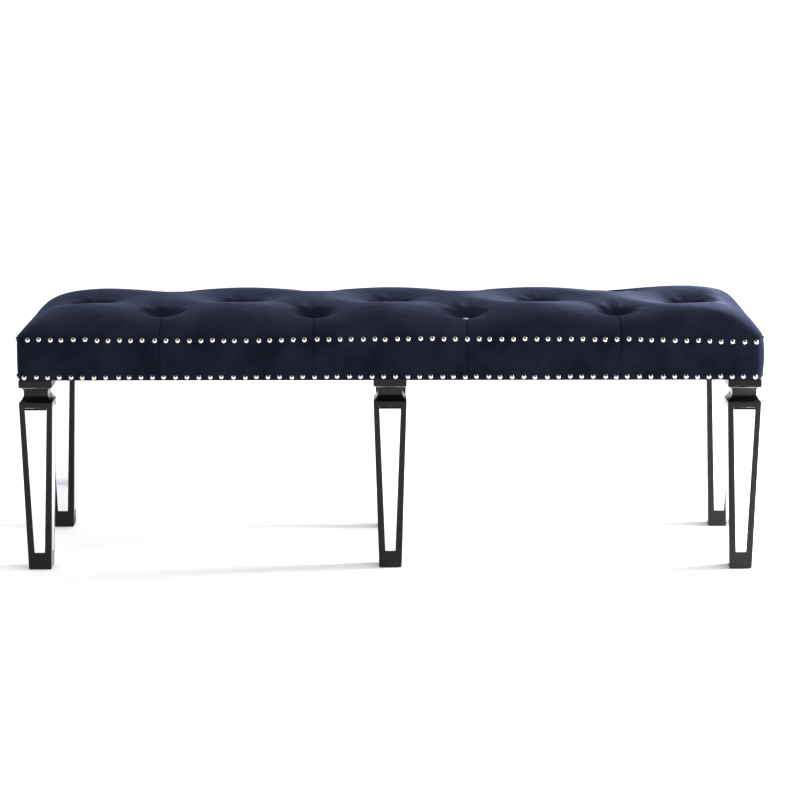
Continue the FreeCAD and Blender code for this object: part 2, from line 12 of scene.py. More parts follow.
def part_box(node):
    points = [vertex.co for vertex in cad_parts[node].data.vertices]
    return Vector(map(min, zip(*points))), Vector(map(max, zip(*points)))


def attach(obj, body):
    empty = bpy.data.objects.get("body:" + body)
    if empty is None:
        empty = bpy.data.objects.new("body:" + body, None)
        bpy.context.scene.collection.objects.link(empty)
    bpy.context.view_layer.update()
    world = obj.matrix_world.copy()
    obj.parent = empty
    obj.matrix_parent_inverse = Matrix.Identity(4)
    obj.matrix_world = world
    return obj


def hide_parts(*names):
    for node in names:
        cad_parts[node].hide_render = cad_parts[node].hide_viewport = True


bl_info = {
    "name": "Upholstered bench",
    "version": (1, 0, 0),
    "blender": (4, 5, 0),
    "location": "View3D > Sidebar > Bench",
    "description": "Dresses the packed bench: tufted cushion, nails, buttons, lacquered legs and mirrors",
    "category": "Object",
}

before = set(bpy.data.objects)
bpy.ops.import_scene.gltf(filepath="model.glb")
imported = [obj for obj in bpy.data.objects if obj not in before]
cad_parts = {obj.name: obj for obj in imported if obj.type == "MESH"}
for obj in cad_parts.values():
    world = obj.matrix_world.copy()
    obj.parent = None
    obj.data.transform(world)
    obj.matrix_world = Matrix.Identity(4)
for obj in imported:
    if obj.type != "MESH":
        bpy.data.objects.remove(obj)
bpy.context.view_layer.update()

MM = 0.001
BODY = "root"
LEGS = [f"{row}_{column}_leg" for row in ("front", "rear") for column in ("left", "middle", "right")]
LEG_FACES = ("front", "right", "rear", "left")
SIDES = ("front", "rear", "left", "right")
SEAT_LOW, SEAT_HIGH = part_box("velvet_cover")


def linear(code):
    """An sRGB hex colour as linear red, green and blue."""
    channels = [int(code[start:start + 2], 16) / 255 for start in (1, 3, 5)]
    return tuple(c / 12.92 if c <= 0.04045 else ((c + 0.055) / 1.055) ** 2.4 for c in channels)


def opaque(code):
    return (*linear(code), 1.0)


# Settings that a user would change.


class CushionSettings(bpy.types.PropertyGroup):
    crown_run: FloatProperty(
        name="Crown run", description="How far in from the edge the crown keeps rising",
        default=0.120, unit="LENGTH", subtype="DISTANCE")
    band_top: FloatProperty(
        name="Band top", description="Level where the upright band meets the crown",
        default=0.4535, unit="LENGTH", subtype="DISTANCE")
    corner_radius: FloatProperty(
        name="Corner radius", description="Radius of the seat's corners seen from above",
        default=0.018, unit="LENGTH", subtype="DISTANCE")
    corner_spread: FloatProperty(
        name="Corner spread", description="How fast the corners grow rounder towards the middle",
        default=0.55)
    pitch: FloatProperty(
        name="Tuft pitch", description="Distance from tuft to tuft in a row",
        default=0.290, unit="LENGTH", subtype="DISTANCE")
    row_spacing: FloatProperty(
        name="Row spacing", description="Distance from row to row of tufts",
        default=0.113, unit="LENGTH", subtype="DISTANCE")
    tuft_depth: FloatProperty(
        name="Tuft depth", description="How deep the buttons pull the velvet down",
        default=0.038, unit="LENGTH", subtype="DISTANCE")
    dimple_depths: FloatVectorProperty(
        name="Dimple depths", description="Depth of the wide soft dimples of the front, middle and rear row",
        default=(0.0165, 0.0195, 0.008), size=3, unit="LENGTH")
    dimple_radius: FloatProperty(
        name="Dimple radius", description="Reach of the wide soft dimple round each tuft",
        default=0.104, unit="LENGTH", subtype="DISTANCE")
    tuft_stretch: FloatProperty(
        name="Tuft stretch", description="How much wider than deep, seen from above, the tufts are",
        default=1.38)
    funnel_stretch: FloatProperty(
        name="Funnel stretch", description="How much wider than deep the steep part round the button is",
        default=1.75)
    funnel_radius: FloatProperty(
        name="Funnel radius", description="Reach of the steep part just round the button",
        default=0.0265, unit="LENGTH", subtype="DISTANCE")
    pleat_depth: FloatProperty(
        name="Pleat depth", description="Depth of the small pleats that run out from each button",
        default=0.0026, unit="LENGTH", subtype="DISTANCE")
    fold_depth: FloatProperty(
        name="Fold depth", description="Depth of the soft folds from tuft to tuft",
        default=0.009, unit="LENGTH", subtype="DISTANCE")
    fold_width: FloatProperty(
        name="Fold width", description="Half width of the soft folds",
        default=0.026, unit="LENGTH", subtype="DISTANCE")
    cell: FloatProperty(
        name="Cell", description="Size of the mesh's cells before the last subdivision",
        default=0.00659, unit="LENGTH", subtype="DISTANCE")
    pressure: FloatProperty(
        name="Pressure", description="How hard the foam pushes the velvet out", default=2.2)
    swell: FloatProperty(
        name="Swell", description="The farthest that the simulation may move the velvet",
        default=0.008, unit="LENGTH", subtype="DISTANCE")
    colour: FloatVectorProperty(
        name="Velvet", description="Colour of the velvet seen straight on",
        default=linear("#141722"), subtype="COLOR", size=3, min=0.0, max=1.0)
    nap: FloatVectorProperty(
        name="Nap", description="Colour of the light that the pile catches at a glancing angle",
        default=linear("#97a4cf"), subtype="COLOR", size=3, min=0.0, max=1.0)


class TrimSettings(bpy.types.PropertyGroup):
    along: IntProperty(name="Nails along", description="Nails in each long row", default=64, min=2)
    across: IntProperty(name="Nails across", description="Nails in each end row", default=18, min=2)
    radius: FloatProperty(
        name="Nail radius", description="Radius of a nail head",
        default=0.00475, unit="LENGTH", subtype="DISTANCE")
    height: FloatProperty(
        name="Nail height", description="Height of a nail head",
        default=0.0029, unit="LENGTH", subtype="DISTANCE")
    stray: FloatProperty(
        name="Stray", description="How far a nail driven by hand strays from its place",
        default=0.0009, unit="LENGTH", subtype="DISTANCE")
    metal: FloatVectorProperty(
        name="Nickel", description="Colour of the nickel plate",
        default=linear("#d9d6d2"), subtype="COLOR", size=3, min=0.0, max=1.0)


class LegSettings(bpy.types.PropertyGroup):
    edge: FloatProperty(
        name="Eased edge", description="Width of the eased edges of the lacquered legs",
        default=0.0009, unit="LENGTH", subtype="DISTANCE")
    lacquer: FloatVectorProperty(
        name="Lacquer", description="Colour of the lacquer",
        default=linear("#09080b"), subtype="COLOR", size=3, min=0.0, max=1.0)
    silver: FloatVectorProperty(
        name="Silvering", description="Colour of the mirror glass",
        default=linear("#f4f4fb"), subtype="COLOR", size=3, min=0.0, max=1.0)


class StageSettings(bpy.types.PropertyGroup):
    focal_length: FloatProperty(name="Lens", description="Focal length in millimetres", default=115.12)
    distance: FloatProperty(
        name="Distance", description="Camera's distance in front of the middle of the bench",
        default=4.95, unit="LENGTH", subtype="DISTANCE")
    height: FloatProperty(
        name="Height", description="Camera's height above the floor",
        default=1.2579, unit="LENGTH", subtype="DISTANCE")
    sideways: FloatProperty(
        name="Sideways", description="Camera's place to the right of the middle",
        default=0.0190, unit="LENGTH", subtype="DISTANCE")
    pitch: FloatProperty(
        name="Pitch", description="How far the camera looks down",
        default=math.radians(9.241), unit="ROTATION", subtype="ANGLE")
    roll: FloatProperty(
        name="Roll", description="The camera's small tilt", default=-0.0013, unit="ROTATION", subtype="ANGLE")
    shift: FloatProperty(name="Shift", description="Upward shift of the lens", default=-0.1)


# Small helpers for objects and meshes.


def select_only(*objects):
    """Leaves edit mode, selects just these objects and makes the first one active."""
    if bpy.context.object and bpy.context.object.mode != "OBJECT":
        bpy.ops.object.mode_set(mode="OBJECT")
    bpy.ops.object.select_all(action="DESELECT")
    for item in objects:
        item.select_set(True)
    if objects:
        bpy.context.view_layer.objects.active = objects[0]


def settle(item):
    """Puts the object at the origin with its place in its mesh."""
    select_only(item)
    bpy.ops.object.transform_apply(location=True, rotation=True, scale=True)
    return item


def positions(item):
    points = np.empty(len(item.data.vertices) * 3)
    item.data.vertices.foreach_get("co", points)
    return points.reshape(-1, 3)


def move_to(item, points):
    item.data.vertices.foreach_set("co", np.asarray(points, float).ravel())
    item.data.update()


def smooth_shading(item, angle=None):
    select_only(item)
    if angle is None:
        bpy.ops.object.shade_smooth()
    else:
        bpy.ops.object.shade_smooth_by_angle(angle=angle)


def apply_modifier(item, modifier):
    select_only(item)
    bpy.ops.object.modifier_apply(modifier=modifier.name)


def finish_piece(item, name, material, nodes):
    """Names the piece, gives it its finish, and sets it on the frame in place of its CAD nodes."""
    item.name = name
    item.data.name = name
    item.data.materials.clear()
    item.data.materials.append(material)
    for polygon in item.data.polygons:
        polygon.material_index = 0
    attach(item, BODY)
    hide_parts(*nodes)
    return item


# Materials.


def new_material(name):
    """An empty node material whose one shader is linked to its output. Gives back both."""
    made = bpy.data.materials.new(name)
    made.use_nodes = True
    made.node_tree.nodes.clear()
    output = node(made, "ShaderNodeOutputMaterial")
    shader = node(made, "ShaderNodeBsdfPrincipled")
    link(made, shader.outputs["BSDF"], output.inputs["Surface"])
    return made, shader


def node(made, kind, settings=None, **inputs):
    """Adds a node, with its settings, and its inputs given as values or as outputs to link."""
    added = made.node_tree.nodes.new(kind)
    for name, value in (settings or {}).items():
        setattr(added, name, value)
    for name, value in inputs.items():
        socket = added.inputs[int(name[1:])] if name[1:].isdigit() else added.inputs[name.replace("_", " ")]
        if isinstance(value, bpy.types.NodeSocket):
            link(made, value, socket)
        else:
            socket.default_value = value
    return added


def link(made, start, end):
    made.node_tree.links.new(start, end)


def per_mm(size):
    """The noise scale, in Object coordinates in metres, that gives features of this size in millimetres."""
    return 1 / (size * MM)


def velvet():
    """Cotton velvet, woven with a short cut pile. The pile drinks the light that comes straight on and
    catches it at a glancing angle, so folds and the upright band are dark and the crown glows."""
    look = bpy.context.scene.bench_cushion
    made, shader = new_material("navy_cut_pile_velvet")
    place = node(made, "ShaderNodeTexCoord").outputs["Object"]
    brushed = node(made, "ShaderNodeTexNoise", Vector=place, Scale=per_mm(70), Detail=3.0, Roughness=0.55)
    stroke = node(made, "ShaderNodeMapRange", Value=brushed.outputs["Fac"],
                  From_Min=0.35, From_Max=0.65, To_Min=0.0, To_Max=1.0)
    dark = (*(c * 0.75 for c in look.colour), 1.0)
    light = (*(c * 1.35 for c in look.colour), 1.0)
    colour = node(made, "ShaderNodeMix", {"data_type": "RGBA"},
                  i0=stroke.outputs["Result"], i6=dark, i7=light)
    link(made, colour.outputs[2], shader.inputs["Base Color"])
    pile = node(made, "ShaderNodeTexNoise", Vector=place, Scale=per_mm(1.6), Detail=2.0, Roughness=0.6)
    lie = node(made, "ShaderNodeTexNoise", Vector=place, Scale=per_mm(24), Detail=2.0, Roughness=0.5)
    soft = node(made, "ShaderNodeBump", Strength=0.25, Distance=0.004, Height=lie.outputs["Fac"])
    fine = node(made, "ShaderNodeBump", Strength=0.2, Distance=0.0006,
                Height=pile.outputs["Fac"], Normal=soft.outputs["Normal"])
    link(made, fine.outputs["Normal"], shader.inputs["Normal"])
    shader.inputs["Roughness"].default_value = 0.9
    shader.inputs["Specular IOR Level"].default_value = 0.0
    shader.inputs["Sheen Weight"].default_value = 0.185
    shader.inputs["Sheen Roughness"].default_value = 0.46
    shader.inputs["Sheen Tint"].default_value = (*look.nap, 1.0)
    return made


def nickel(name, colour, rub):
    """Nickel plated steel, stamped and tumbled bright, with a faint unevenness in its polish."""
    made, shader = new_material(name)
    place = node(made, "ShaderNodeTexCoord").outputs["Object"]
    cloud = node(made, "ShaderNodeTexNoise", Vector=place, Scale=per_mm(2.5), Detail=3.0)
    polish = node(made, "ShaderNodeMapRange", Value=cloud.outputs["Fac"], To_Min=rub * 0.6, To_Max=rub * 1.6)
    link(made, polish.outputs["Result"], shader.inputs["Roughness"])
    shader.inputs["Base Color"].default_value = (*colour, 1.0)
    shader.inputs["Metallic"].default_value = 1.0
    return made


def lacquer():
    """Black nitrocellulose lacquer, sprayed over primed wood and rubbed to a soft gloss. Its level
    surface has the fine ripple of sprayed lacquer, and its colour shifts a little where it is thin."""
    look = bpy.context.scene.bench_legs
    made, shader = new_material("black_sprayed_lacquer")
    place = node(made, "ShaderNodeTexCoord").outputs["Object"]
    cloud = node(made, "ShaderNodeTexNoise", Vector=place, Scale=per_mm(60), Detail=2.0)
    dark = (*(c * 0.8 for c in look.lacquer), 1.0)
    light = (*(c * 1.3 for c in look.lacquer), 1.0)
    colour = node(made, "ShaderNodeMix", {"data_type": "RGBA"}, i0=cloud.outputs["Fac"], i6=dark, i7=light)
    link(made, colour.outputs[2], shader.inputs["Base Color"])
    rubbed = node(made, "ShaderNodeMapRange", Value=cloud.outputs["Fac"], To_Min=0.16, To_Max=0.30)
    link(made, rubbed.outputs["Result"], shader.inputs["Roughness"])
    ripple = node(made, "ShaderNodeTexNoise", Vector=place, Scale=per_mm(3), Detail=1.0)
    bump = node(made, "ShaderNodeBump", Strength=0.04, Distance=0.0005, Height=ripple.outputs["Fac"])
    link(made, bump.outputs["Normal"], shader.inputs["Normal"])
    shader.inputs["IOR"].default_value = 1.5
    shader.inputs["Specular IOR Level"].default_value = 0.22
    return made


def silvered_glass():
    """Float glass silvered on its back. It shows its surroundings clearly, a touch cooler than they are."""
    look = bpy.context.scene.bench_legs
    made, shader = new_material("silvered_mirror_glass")
    place = node(made, "ShaderNodeTexCoord").outputs["Object"]
    haze = node(made, "ShaderNodeTexNoise", Vector=place, Scale=per_mm(18), Detail=2.0)
    clean = node(made, "ShaderNodeMapRange", Value=haze.outputs["Fac"], To_Min=0.01, To_Max=0.035)
    link(made, clean.outputs["Result"], shader.inputs["Roughness"])
    shader.inputs["Base Color"].default_value = (*look.silver, 1.0)
    shader.inputs["Metallic"].default_value = 1.0
    return made


def sawn_wood(name, pale, dark, grain, along_x):
    """Sawn timber: fine streaks of grain along the piece, dull."""
    made, shader = new_material(name)
    place = node(made, "ShaderNodeTexCoord").outputs["Object"]
    stretch = (0.06, 1.0, 1.0) if along_x else (1.0, 0.06, 1.0)
    turned = node(made, "ShaderNodeMapping", Vector=place, Scale=stretch)
    streak = node(made, "ShaderNodeTexNoise",
                  Vector=turned.outputs["Vector"], Scale=per_mm(grain), Detail=4.0)
    colour = node(made, "ShaderNodeMix", {"data_type": "RGBA"},
                  i0=streak.outputs["Fac"], i6=opaque(dark), i7=opaque(pale))
    link(made, colour.outputs[2], shader.inputs["Base Color"])
    bump = node(made, "ShaderNodeBump", Strength=0.3, Distance=0.0005, Height=streak.outputs["Fac"])
    link(made, bump.outputs["Normal"], shader.inputs["Normal"])
    shader.inputs["Roughness"].default_value = 0.75
    return made


def cambric():
    """Black spun polypropylene, pressed from loose fibres, thin and matt with a fine dimpled press mark."""
    made, shader = new_material("black_pressed_cambric")
    place = node(made, "ShaderNodeTexCoord").outputs["Object"]
    press = node(made, "ShaderNodeTexVoronoi", Vector=place, Scale=per_mm(1.8))
    fibre = node(made, "ShaderNodeTexNoise", Vector=place, Scale=per_mm(5), Detail=4.0)
    colour = node(made, "ShaderNodeMix", {"data_type": "RGBA"},
                  i0=fibre.outputs["Fac"], i6=opaque("#0e0e0f"), i7=opaque("#232326"))
    link(made, colour.outputs[2], shader.inputs["Base Color"])
    bump = node(made, "ShaderNodeBump", Strength=0.3, Distance=0.0004, Height=press.outputs["Distance"])
    link(made, bump.outputs["Normal"], shader.inputs["Normal"])
    shader.inputs["Roughness"].default_value = 0.95
    return made


def foam():
    """Cut polyurethane foam, cream coloured, with open cells about a millimetre across."""
    made, shader = new_material("cut_cream_foam")
    place = node(made, "ShaderNodeTexCoord").outputs["Object"]
    cells = node(made, "ShaderNodeTexVoronoi", Vector=place, Scale=per_mm(1.2))
    colour = node(made, "ShaderNodeMix", {"data_type": "RGBA"},
                  i0=cells.outputs["Distance"], i6=opaque("#efe6c8"), i7=opaque("#d8cca6"))
    link(made, colour.outputs[2], shader.inputs["Base Color"])
    shader.inputs["Roughness"].default_value = 0.95
    return made


def laid_twine():
    """Waxed flax twine, two strands laid together, pale and dull."""
    made, shader = new_material("waxed_flax_twine")
    place = node(made, "ShaderNodeTexCoord").outputs["Object"]
    lay = node(made, "ShaderNodeTexWave", {"bands_direction": "DIAGONAL"}, Vector=place, Scale=per_mm(8))
    colour = node(made, "ShaderNodeMix", {"data_type": "RGBA"},
                  i0=lay.outputs["Fac"], i6=opaque("#8f8266"), i7=opaque("#c9bc9b"))
    link(made, colour.outputs[2], shader.inputs["Base Color"])
    shader.inputs["Roughness"].default_value = 0.7
    return made


def zinc_steel():
    """Zinc plated steel, as on hardware bolts: bluish grey with a spangle a few millimetres wide."""
    made, shader = new_material("zinc_plated_steel")
    place = node(made, "ShaderNodeTexCoord").outputs["Object"]
    spangle = node(made, "ShaderNodeTexVoronoi", Vector=place, Scale=per_mm(3))
    dull = node(made, "ShaderNodeMapRange", Value=spangle.outputs["Distance"], To_Min=0.3, To_Max=0.45)
    link(made, dull.outputs["Result"], shader.inputs["Roughness"])
    shader.inputs["Base Color"].default_value = opaque("#a9adb2")
    shader.inputs["Metallic"].default_value = 1.0
    return made


# Cushion.


# By the number of the tuft: how much less deep it is tied, and how much nearer to the front it lies.
TUFT_SLACK = {2: 0.0057}
TUFT_STRAY = {1: 0.006, 2: 0.009}


def tuft_places():
    """Centres of the tufts: four in the front and rear rows and five in the middle one."""
    sizes = bpy.context.scene.bench_cushion
    places = [
        ((column - (count - 1) / 2) * sizes.pitch, row * sizes.row_spacing)
        for row, count in ((-1, 4), (0, 5), (1, 4)) for column in range(count)
    ]
    return [(x, y - TUFT_STRAY.get(number, 0)) for number, (x, y) in enumerate(places)]


HALVINGS = 26


def inset_of(x, y):
    """How far in from the seat's edge each point lies, by nested outlines that grow rounder inwards."""
    sizes = bpy.context.scene.bench_cushion
    half_x, half_y = SEAT_HIGH.x, SEAT_HIGH.y
    low = np.zeros_like(x)
    high = np.full_like(x, half_y - 1e-4)
    for _ in range(HALVINGS):
        middle = (low + high) / 2
        radius = np.minimum(sizes.corner_radius + sizes.corner_spread * middle, half_y - middle)
        out_x = np.abs(x) - (half_x - middle - radius)
        out_y = np.abs(y) - (half_y - middle - radius)
        beyond = np.hypot(np.maximum(out_x, 0), np.maximum(out_y, 0))
        beyond = beyond + np.minimum(np.maximum(out_x, out_y), 0)
        inside = beyond <= radius
        low = np.where(inside, middle, low)
        high = np.where(inside, high, middle)
    return low


# Where along the bench the fuller end starts, over what length it grows, and by how much it shortens
# the crown's run.
FULL_END_START = 0.35
FULL_END_SPREAD = 0.25
FULL_END_RUN = 0.040


def fuller_end(x):
    """How much shorter the crown's run is towards the right end, which is stuffed a little fuller."""
    part = np.clip((x - FULL_END_START) / FULL_END_SPREAD, 0, 1)
    return FULL_END_RUN * part * part * (3 - 2 * part)


# (x, drop) pairs: how much lower than its highest level the crown lies along the bench.
CROWN_SAG = (
    (-0.70, 0.0045), (-0.45, 0.0034), (-0.25, 0.0020),
    (0.35, 0.0018), (0.56, 0.0062), (0.70, 0.0080),
)


def crown_level(x, y):
    """The level of the crown without its tufts."""
    sizes = bpy.context.scene.bench_cushion
    rise = SEAT_HIGH.z - sizes.band_top
    radius = (sizes.crown_run ** 2 + rise ** 2) / (2 * rise)
    inset = inset_of(x, y)
    short = np.clip(1 - inset / (sizes.crown_run - fuller_end(x)), 0, 1) * sizes.crown_run
    sag = np.interp(x, *zip(*CROWN_SAG)) * np.clip(inset / sizes.crown_run, 0, 1)
    return SEAT_HIGH.z - radius + np.sqrt(radius ** 2 - short ** 2) - sag


def fold_lines():
    """Ends of the soft folds: tuft to nearest tufts of the next row, and outer tufts to the edge."""
    sizes = bpy.context.scene.bench_cushion
    places = tuft_places()
    lines = []
    for x, y in places:
        if y == 0:
            continue
        lines += [((x, y), near) for near in places if near[1] == 0 and abs(near[0] - x) < sizes.pitch]
        lines.append(((x, y), (x, math.copysign(SEAT_HIGH.y, y))))
    return lines


# Powers that shape the tufts: how sharply shapes that overlap blend, how square a tuft is, and how a
# dimple and each row's funnels deepen towards their middle.
BLEND_POWER = 3.0
ROUNDING_POWER = 2.5
DIMPLE_POWER = 1.5
FUNNEL_POWERS = (1.1, 1.1, 1.7)

# Pleats: how far round the button they lie, how far they spread, over what way they fade towards the
# front, and how strong they are behind the button in each row.
PLEAT_RADIUS = 0.032
PLEAT_SPREAD = 0.016
PLEAT_FADE = 0.03
PLEAT_STRENGTHS = (1.0, 1.0, 0.1)

# How much the folds lose halfway between two tufts and at the seat's edge, and how deep the rear
# row's are next to the others.
FOLD_LOSS = 0.55
EDGE_LOSS = 0.35
REAR_FOLDS = 0.5


def rounded_distance(across, deep):
    """Distance measured so that points at the same distance lie on a circle pressed towards a square."""
    return (np.abs(across) ** ROUNDING_POWER + np.abs(deep) ** ROUNDING_POWER) ** (1 / ROUNDING_POWER)


def tuft_sink(x, y, number, row):
    """How far one tuft, with its wide dimple and its steep funnel, pulls the velvet down."""
    sizes = bpy.context.scene.bench_cushion
    away = rounded_distance(x / sizes.tuft_stretch, y)
    wide = sizes.dimple_depths[row] * np.maximum(1 - away / sizes.dimple_radius, 0) ** DIMPLE_POWER
    away = rounded_distance(x / sizes.funnel_stretch, y)
    steep = sizes.tuft_depth - sizes.dimple_depths[row] - TUFT_SLACK.get(number, 0)
    narrow = steep * np.maximum(1 - away / sizes.funnel_radius, 0) ** FUNNEL_POWERS[row]
    return wide + narrow


def pleats(x, y, number, row):
    """The small pleats that run out from one button. They turn from tuft to tuft."""
    sizes = bpy.context.scene.bench_cushion
    away = np.hypot(x, y)
    turn = np.arctan2(y, x) + 2.4 * number
    ripple = 0.6 * np.cos(9 * turn) + 0.4 * np.cos(6 * turn + number)
    behind = np.clip(0.25 + y / PLEAT_FADE, 0.1, PLEAT_STRENGTHS[row])
    return sizes.pleat_depth * ripple * behind * np.exp(-((away - PLEAT_RADIUS) / PLEAT_SPREAD) ** 2)


def fold_sink(x, y, start, end):
    """How far one soft fold pulls the velvet down."""
    sizes = bpy.context.scene.bench_cushion
    (ax, ay), (bx, by) = start, end
    way = np.array([bx - ax, by - ay])
    length = np.hypot(*way)
    along = np.clip(((x - ax) * way[0] + (y - ay) * way[1]) / length ** 2, 0, 1)
    away = np.hypot(x - ax - along * way[0], y - ay - along * way[1])
    if abs(by) > abs(ay):
        slack = 1 - EDGE_LOSS * along
    else:
        slack = 1 - FOLD_LOSS * np.sin(math.pi * along)
    if ay > 0:
        slack = slack * REAR_FOLDS
    return sizes.fold_depth * slack / (1 + (away / sizes.fold_width) ** 2) ** 1.5


def sink(x, y):
    """How far the tufts, their pleats and the folds pull the velvet down at each point."""
    total = np.zeros_like(x)
    small = np.zeros_like(x)
    for number, (px, py) in enumerate(tuft_places()):
        row = 0 if py < 0 else 1 if py == 0 else 2
        total += tuft_sink(x - px, y - py, number, row) ** BLEND_POWER
        small += pleats(x - px, y - py, number, row)
    for start, end in fold_lines():
        total += fold_sink(x, y, start, end) ** BLEND_POWER
    return total ** (1 / BLEND_POWER) + small


CORNER_REACH = 0.05


def seat_lattice():
    """A grid over the seat's plan whose border lies on the rounded outline."""
    sizes = bpy.context.scene.bench_cushion
    columns = round(2 * SEAT_HIGH.x / sizes.cell / 2) * 2
    rows = round(2 * SEAT_HIGH.y / sizes.cell / 2) * 2
    select_only()
    bpy.ops.mesh.primitive_grid_add(x_subdivisions=columns, y_subdivisions=rows, size=2)
    item = bpy.context.object
    grid = positions(item)
    x, y = grid[:, 0] * SEAT_HIGH.x, grid[:, 1] * SEAT_HIGH.y
    reach = CORNER_REACH
    corner_x, corner_y = SEAT_HIGH.x - reach, SEAT_HIGH.y - reach
    out_x, out_y = np.abs(x) - corner_x, np.abs(y) - corner_y
    at_corner = (out_x > 1e-9) & (out_y > 1e-9)
    way = np.hypot(out_x, out_y)
    way = np.where(way > 0, way, 1)
    cos, sin = out_x / way, out_y / way
    square = reach / np.maximum(np.maximum(cos, sin), 1e-9)
    centre = reach - sizes.corner_radius
    dot = (cos + sin) * centre
    arc = dot + np.sqrt(np.maximum(dot ** 2 - 2 * centre ** 2 + sizes.corner_radius ** 2, 0))
    on_arc = (arc * cos >= centre) & (arc * sin >= centre)
    border = np.where(on_arc, arc, square)
    share = np.where(at_corner, border / square, 1)
    x = np.where(at_corner, np.sign(x) * (corner_x + out_x * share), x)
    y = np.where(at_corner, np.sign(y) * (corner_y + out_y * share), y)
    move_to(item, np.c_[x, y, np.zeros_like(x)])
    return item


def add_band(item, levels, hem):
    """Extrudes the border down through the levels and turns it in as a hem."""
    select_only(item)
    bpy.ops.object.mode_set(mode="EDIT")
    bpy.ops.mesh.select_mode(type="EDGE")
    bpy.ops.mesh.select_all(action="DESELECT")
    bpy.ops.mesh.select_non_manifold()
    for level in levels:
        bpy.ops.mesh.extrude_region_move(TRANSFORM_OT_translate={"value": (0, 0, level)})
    for step in hem:
        bpy.ops.mesh.extrude_region_move()
        bpy.ops.transform.resize(
            value=((SEAT_HIGH.x - step) / SEAT_HIGH.x, (SEAT_HIGH.y - step) / SEAT_HIGH.y, 1),
            center_override=(0, 0, 0))
    bpy.ops.object.mode_set(mode="OBJECT")


def close_underside(item):
    """Closes the cushion inside its hem. The face comes last, because a subdivision of so many
    corners meeting in one face would take minutes."""
    select_only(item)
    bpy.ops.object.mode_set(mode="EDIT")
    bpy.ops.mesh.select_mode(type="EDGE")
    bpy.ops.mesh.select_all(action="DESELECT")
    bpy.ops.mesh.select_non_manifold()
    bpy.ops.mesh.edge_face_add()
    bpy.ops.mesh.select_all(action="SELECT")
    bpy.ops.mesh.normals_make_consistent(inside=False)
    bpy.ops.object.mode_set(mode="OBJECT")


BAND_ROWS = 12
HEM_STEPS = (0.006, 0.014)
BAND_BULGE = 0.0016
RIGHT_END_BULGE = 0.0010
HEM_DRAW = 0.0006
END_DEPTH = 0.004
CORNER_TURN = 0.03


def cushion_form():
    """The seat before its velvet is strained: crown, tufts and folds, band and hem."""
    sizes = bpy.context.scene.bench_cushion
    item = seat_lattice()
    flat = positions(item)
    top_count = len(flat)
    drop = SEAT_LOW.z - sizes.band_top
    add_band(item, [drop / BAND_ROWS] * BAND_ROWS, HEM_STEPS)
    points = positions(item)
    x, y = points[:top_count, 0], points[:top_count, 1]
    points[:top_count, 2] = crown_level(x, y) - sink(x, y)
    points[top_count:, 2] += sizes.band_top
    down = (sizes.band_top - points[top_count:, 2]) / -drop
    down = np.clip(down, 0, 1)
    ring = points[top_count:]
    on_end = np.abs(ring[:, 0]) > SEAT_HIGH.x - END_DEPTH
    full = BAND_BULGE + RIGHT_END_BULGE * np.sign(ring[:, 0]) * on_end
    bulge = full * np.sin(math.pi * down) - HEM_DRAW * down ** 10
    inner_x, inner_y = SEAT_HIGH.x - CORNER_REACH, SEAT_HIGH.y - CORNER_REACH
    away_x = np.sign(ring[:, 0]) * np.maximum(np.abs(ring[:, 0]) - inner_x, 0)
    away_y = np.sign(ring[:, 1]) * np.maximum(np.abs(ring[:, 1]) - inner_y, 0)
    ring[:, 0] += bulge * np.clip(away_x / CORNER_TURN, -1, 1)
    ring[:, 1] += bulge * np.clip(away_y / CORNER_TURN, -1, 1)
    move_to(item, points)
    return item


BAND_SLACK = 0.02
BAND_GRIP = 0.004
TUFT_GRIP = 0.024
TUFT_GRIP_FADE = 0.010
CLOTH_FRAMES = 20


def strain(item):
    """Lets the foam push the velvet out while the buttons, the band and the hem hold it."""
    sizes = bpy.context.scene.bench_cushion
    start = positions(item)
    held = np.zeros(len(start))
    on_top = start[:, 2] > sizes.band_top - BAND_SLACK
    for px, py in tuft_places():
        away = np.hypot(start[:, 0] - px, start[:, 1] - py)
        held = np.maximum(held, np.where(on_top, np.clip((TUFT_GRIP - away) / TUFT_GRIP_FADE, 0, 1), 0))
    held = np.maximum(held, np.clip((sizes.band_top + BAND_GRIP - start[:, 2]) / (2 * BAND_GRIP), 0, 1))
    group = item.vertex_groups.new(name="held")
    for index, weight in enumerate(held):
        if weight > 0:
            group.add([index], float(weight), "REPLACE")
    cloth = item.modifiers.new("Velvet", "CLOTH")
    settings = cloth.settings
    settings.quality = 6
    settings.mass = 0.4
    settings.tension_stiffness = 12
    settings.compression_stiffness = 12
    settings.shear_stiffness = 6
    settings.bending_stiffness = 1.2
    settings.use_pressure = True
    settings.uniform_pressure_force = sizes.pressure
    settings.vertex_group_mass = "held"
    settings.effector_weights.gravity = 0
    cloth.collision_settings.use_collision = False
    cloth.collision_settings.use_self_collision = False
    scene = bpy.context.scene
    for number in range(1, CLOTH_FRAMES + 1):
        scene.frame_set(number)
    graph = bpy.context.evaluated_depsgraph_get()
    shaped = item.evaluated_get(graph)
    moved = np.empty(len(shaped.data.vertices) * 3)
    shaped.data.vertices.foreach_get("co", moved)
    moved = moved.reshape(-1, 3)
    item.modifiers.remove(cloth)
    item.vertex_groups.clear()
    scene.frame_set(1)
    shift = moved - start
    length = np.linalg.norm(shift, axis=1, keepdims=True)
    shift *= np.minimum(1, sizes.swell / np.maximum(length, 1e-9))
    move_to(item, start + shift)


SEAM_DEPTH = 0.0013
SEAM_REACH = 0.0052
SEAM_LINE = 0.0008
SEAM_START = 0.012
SEAM_FADE = 0.03


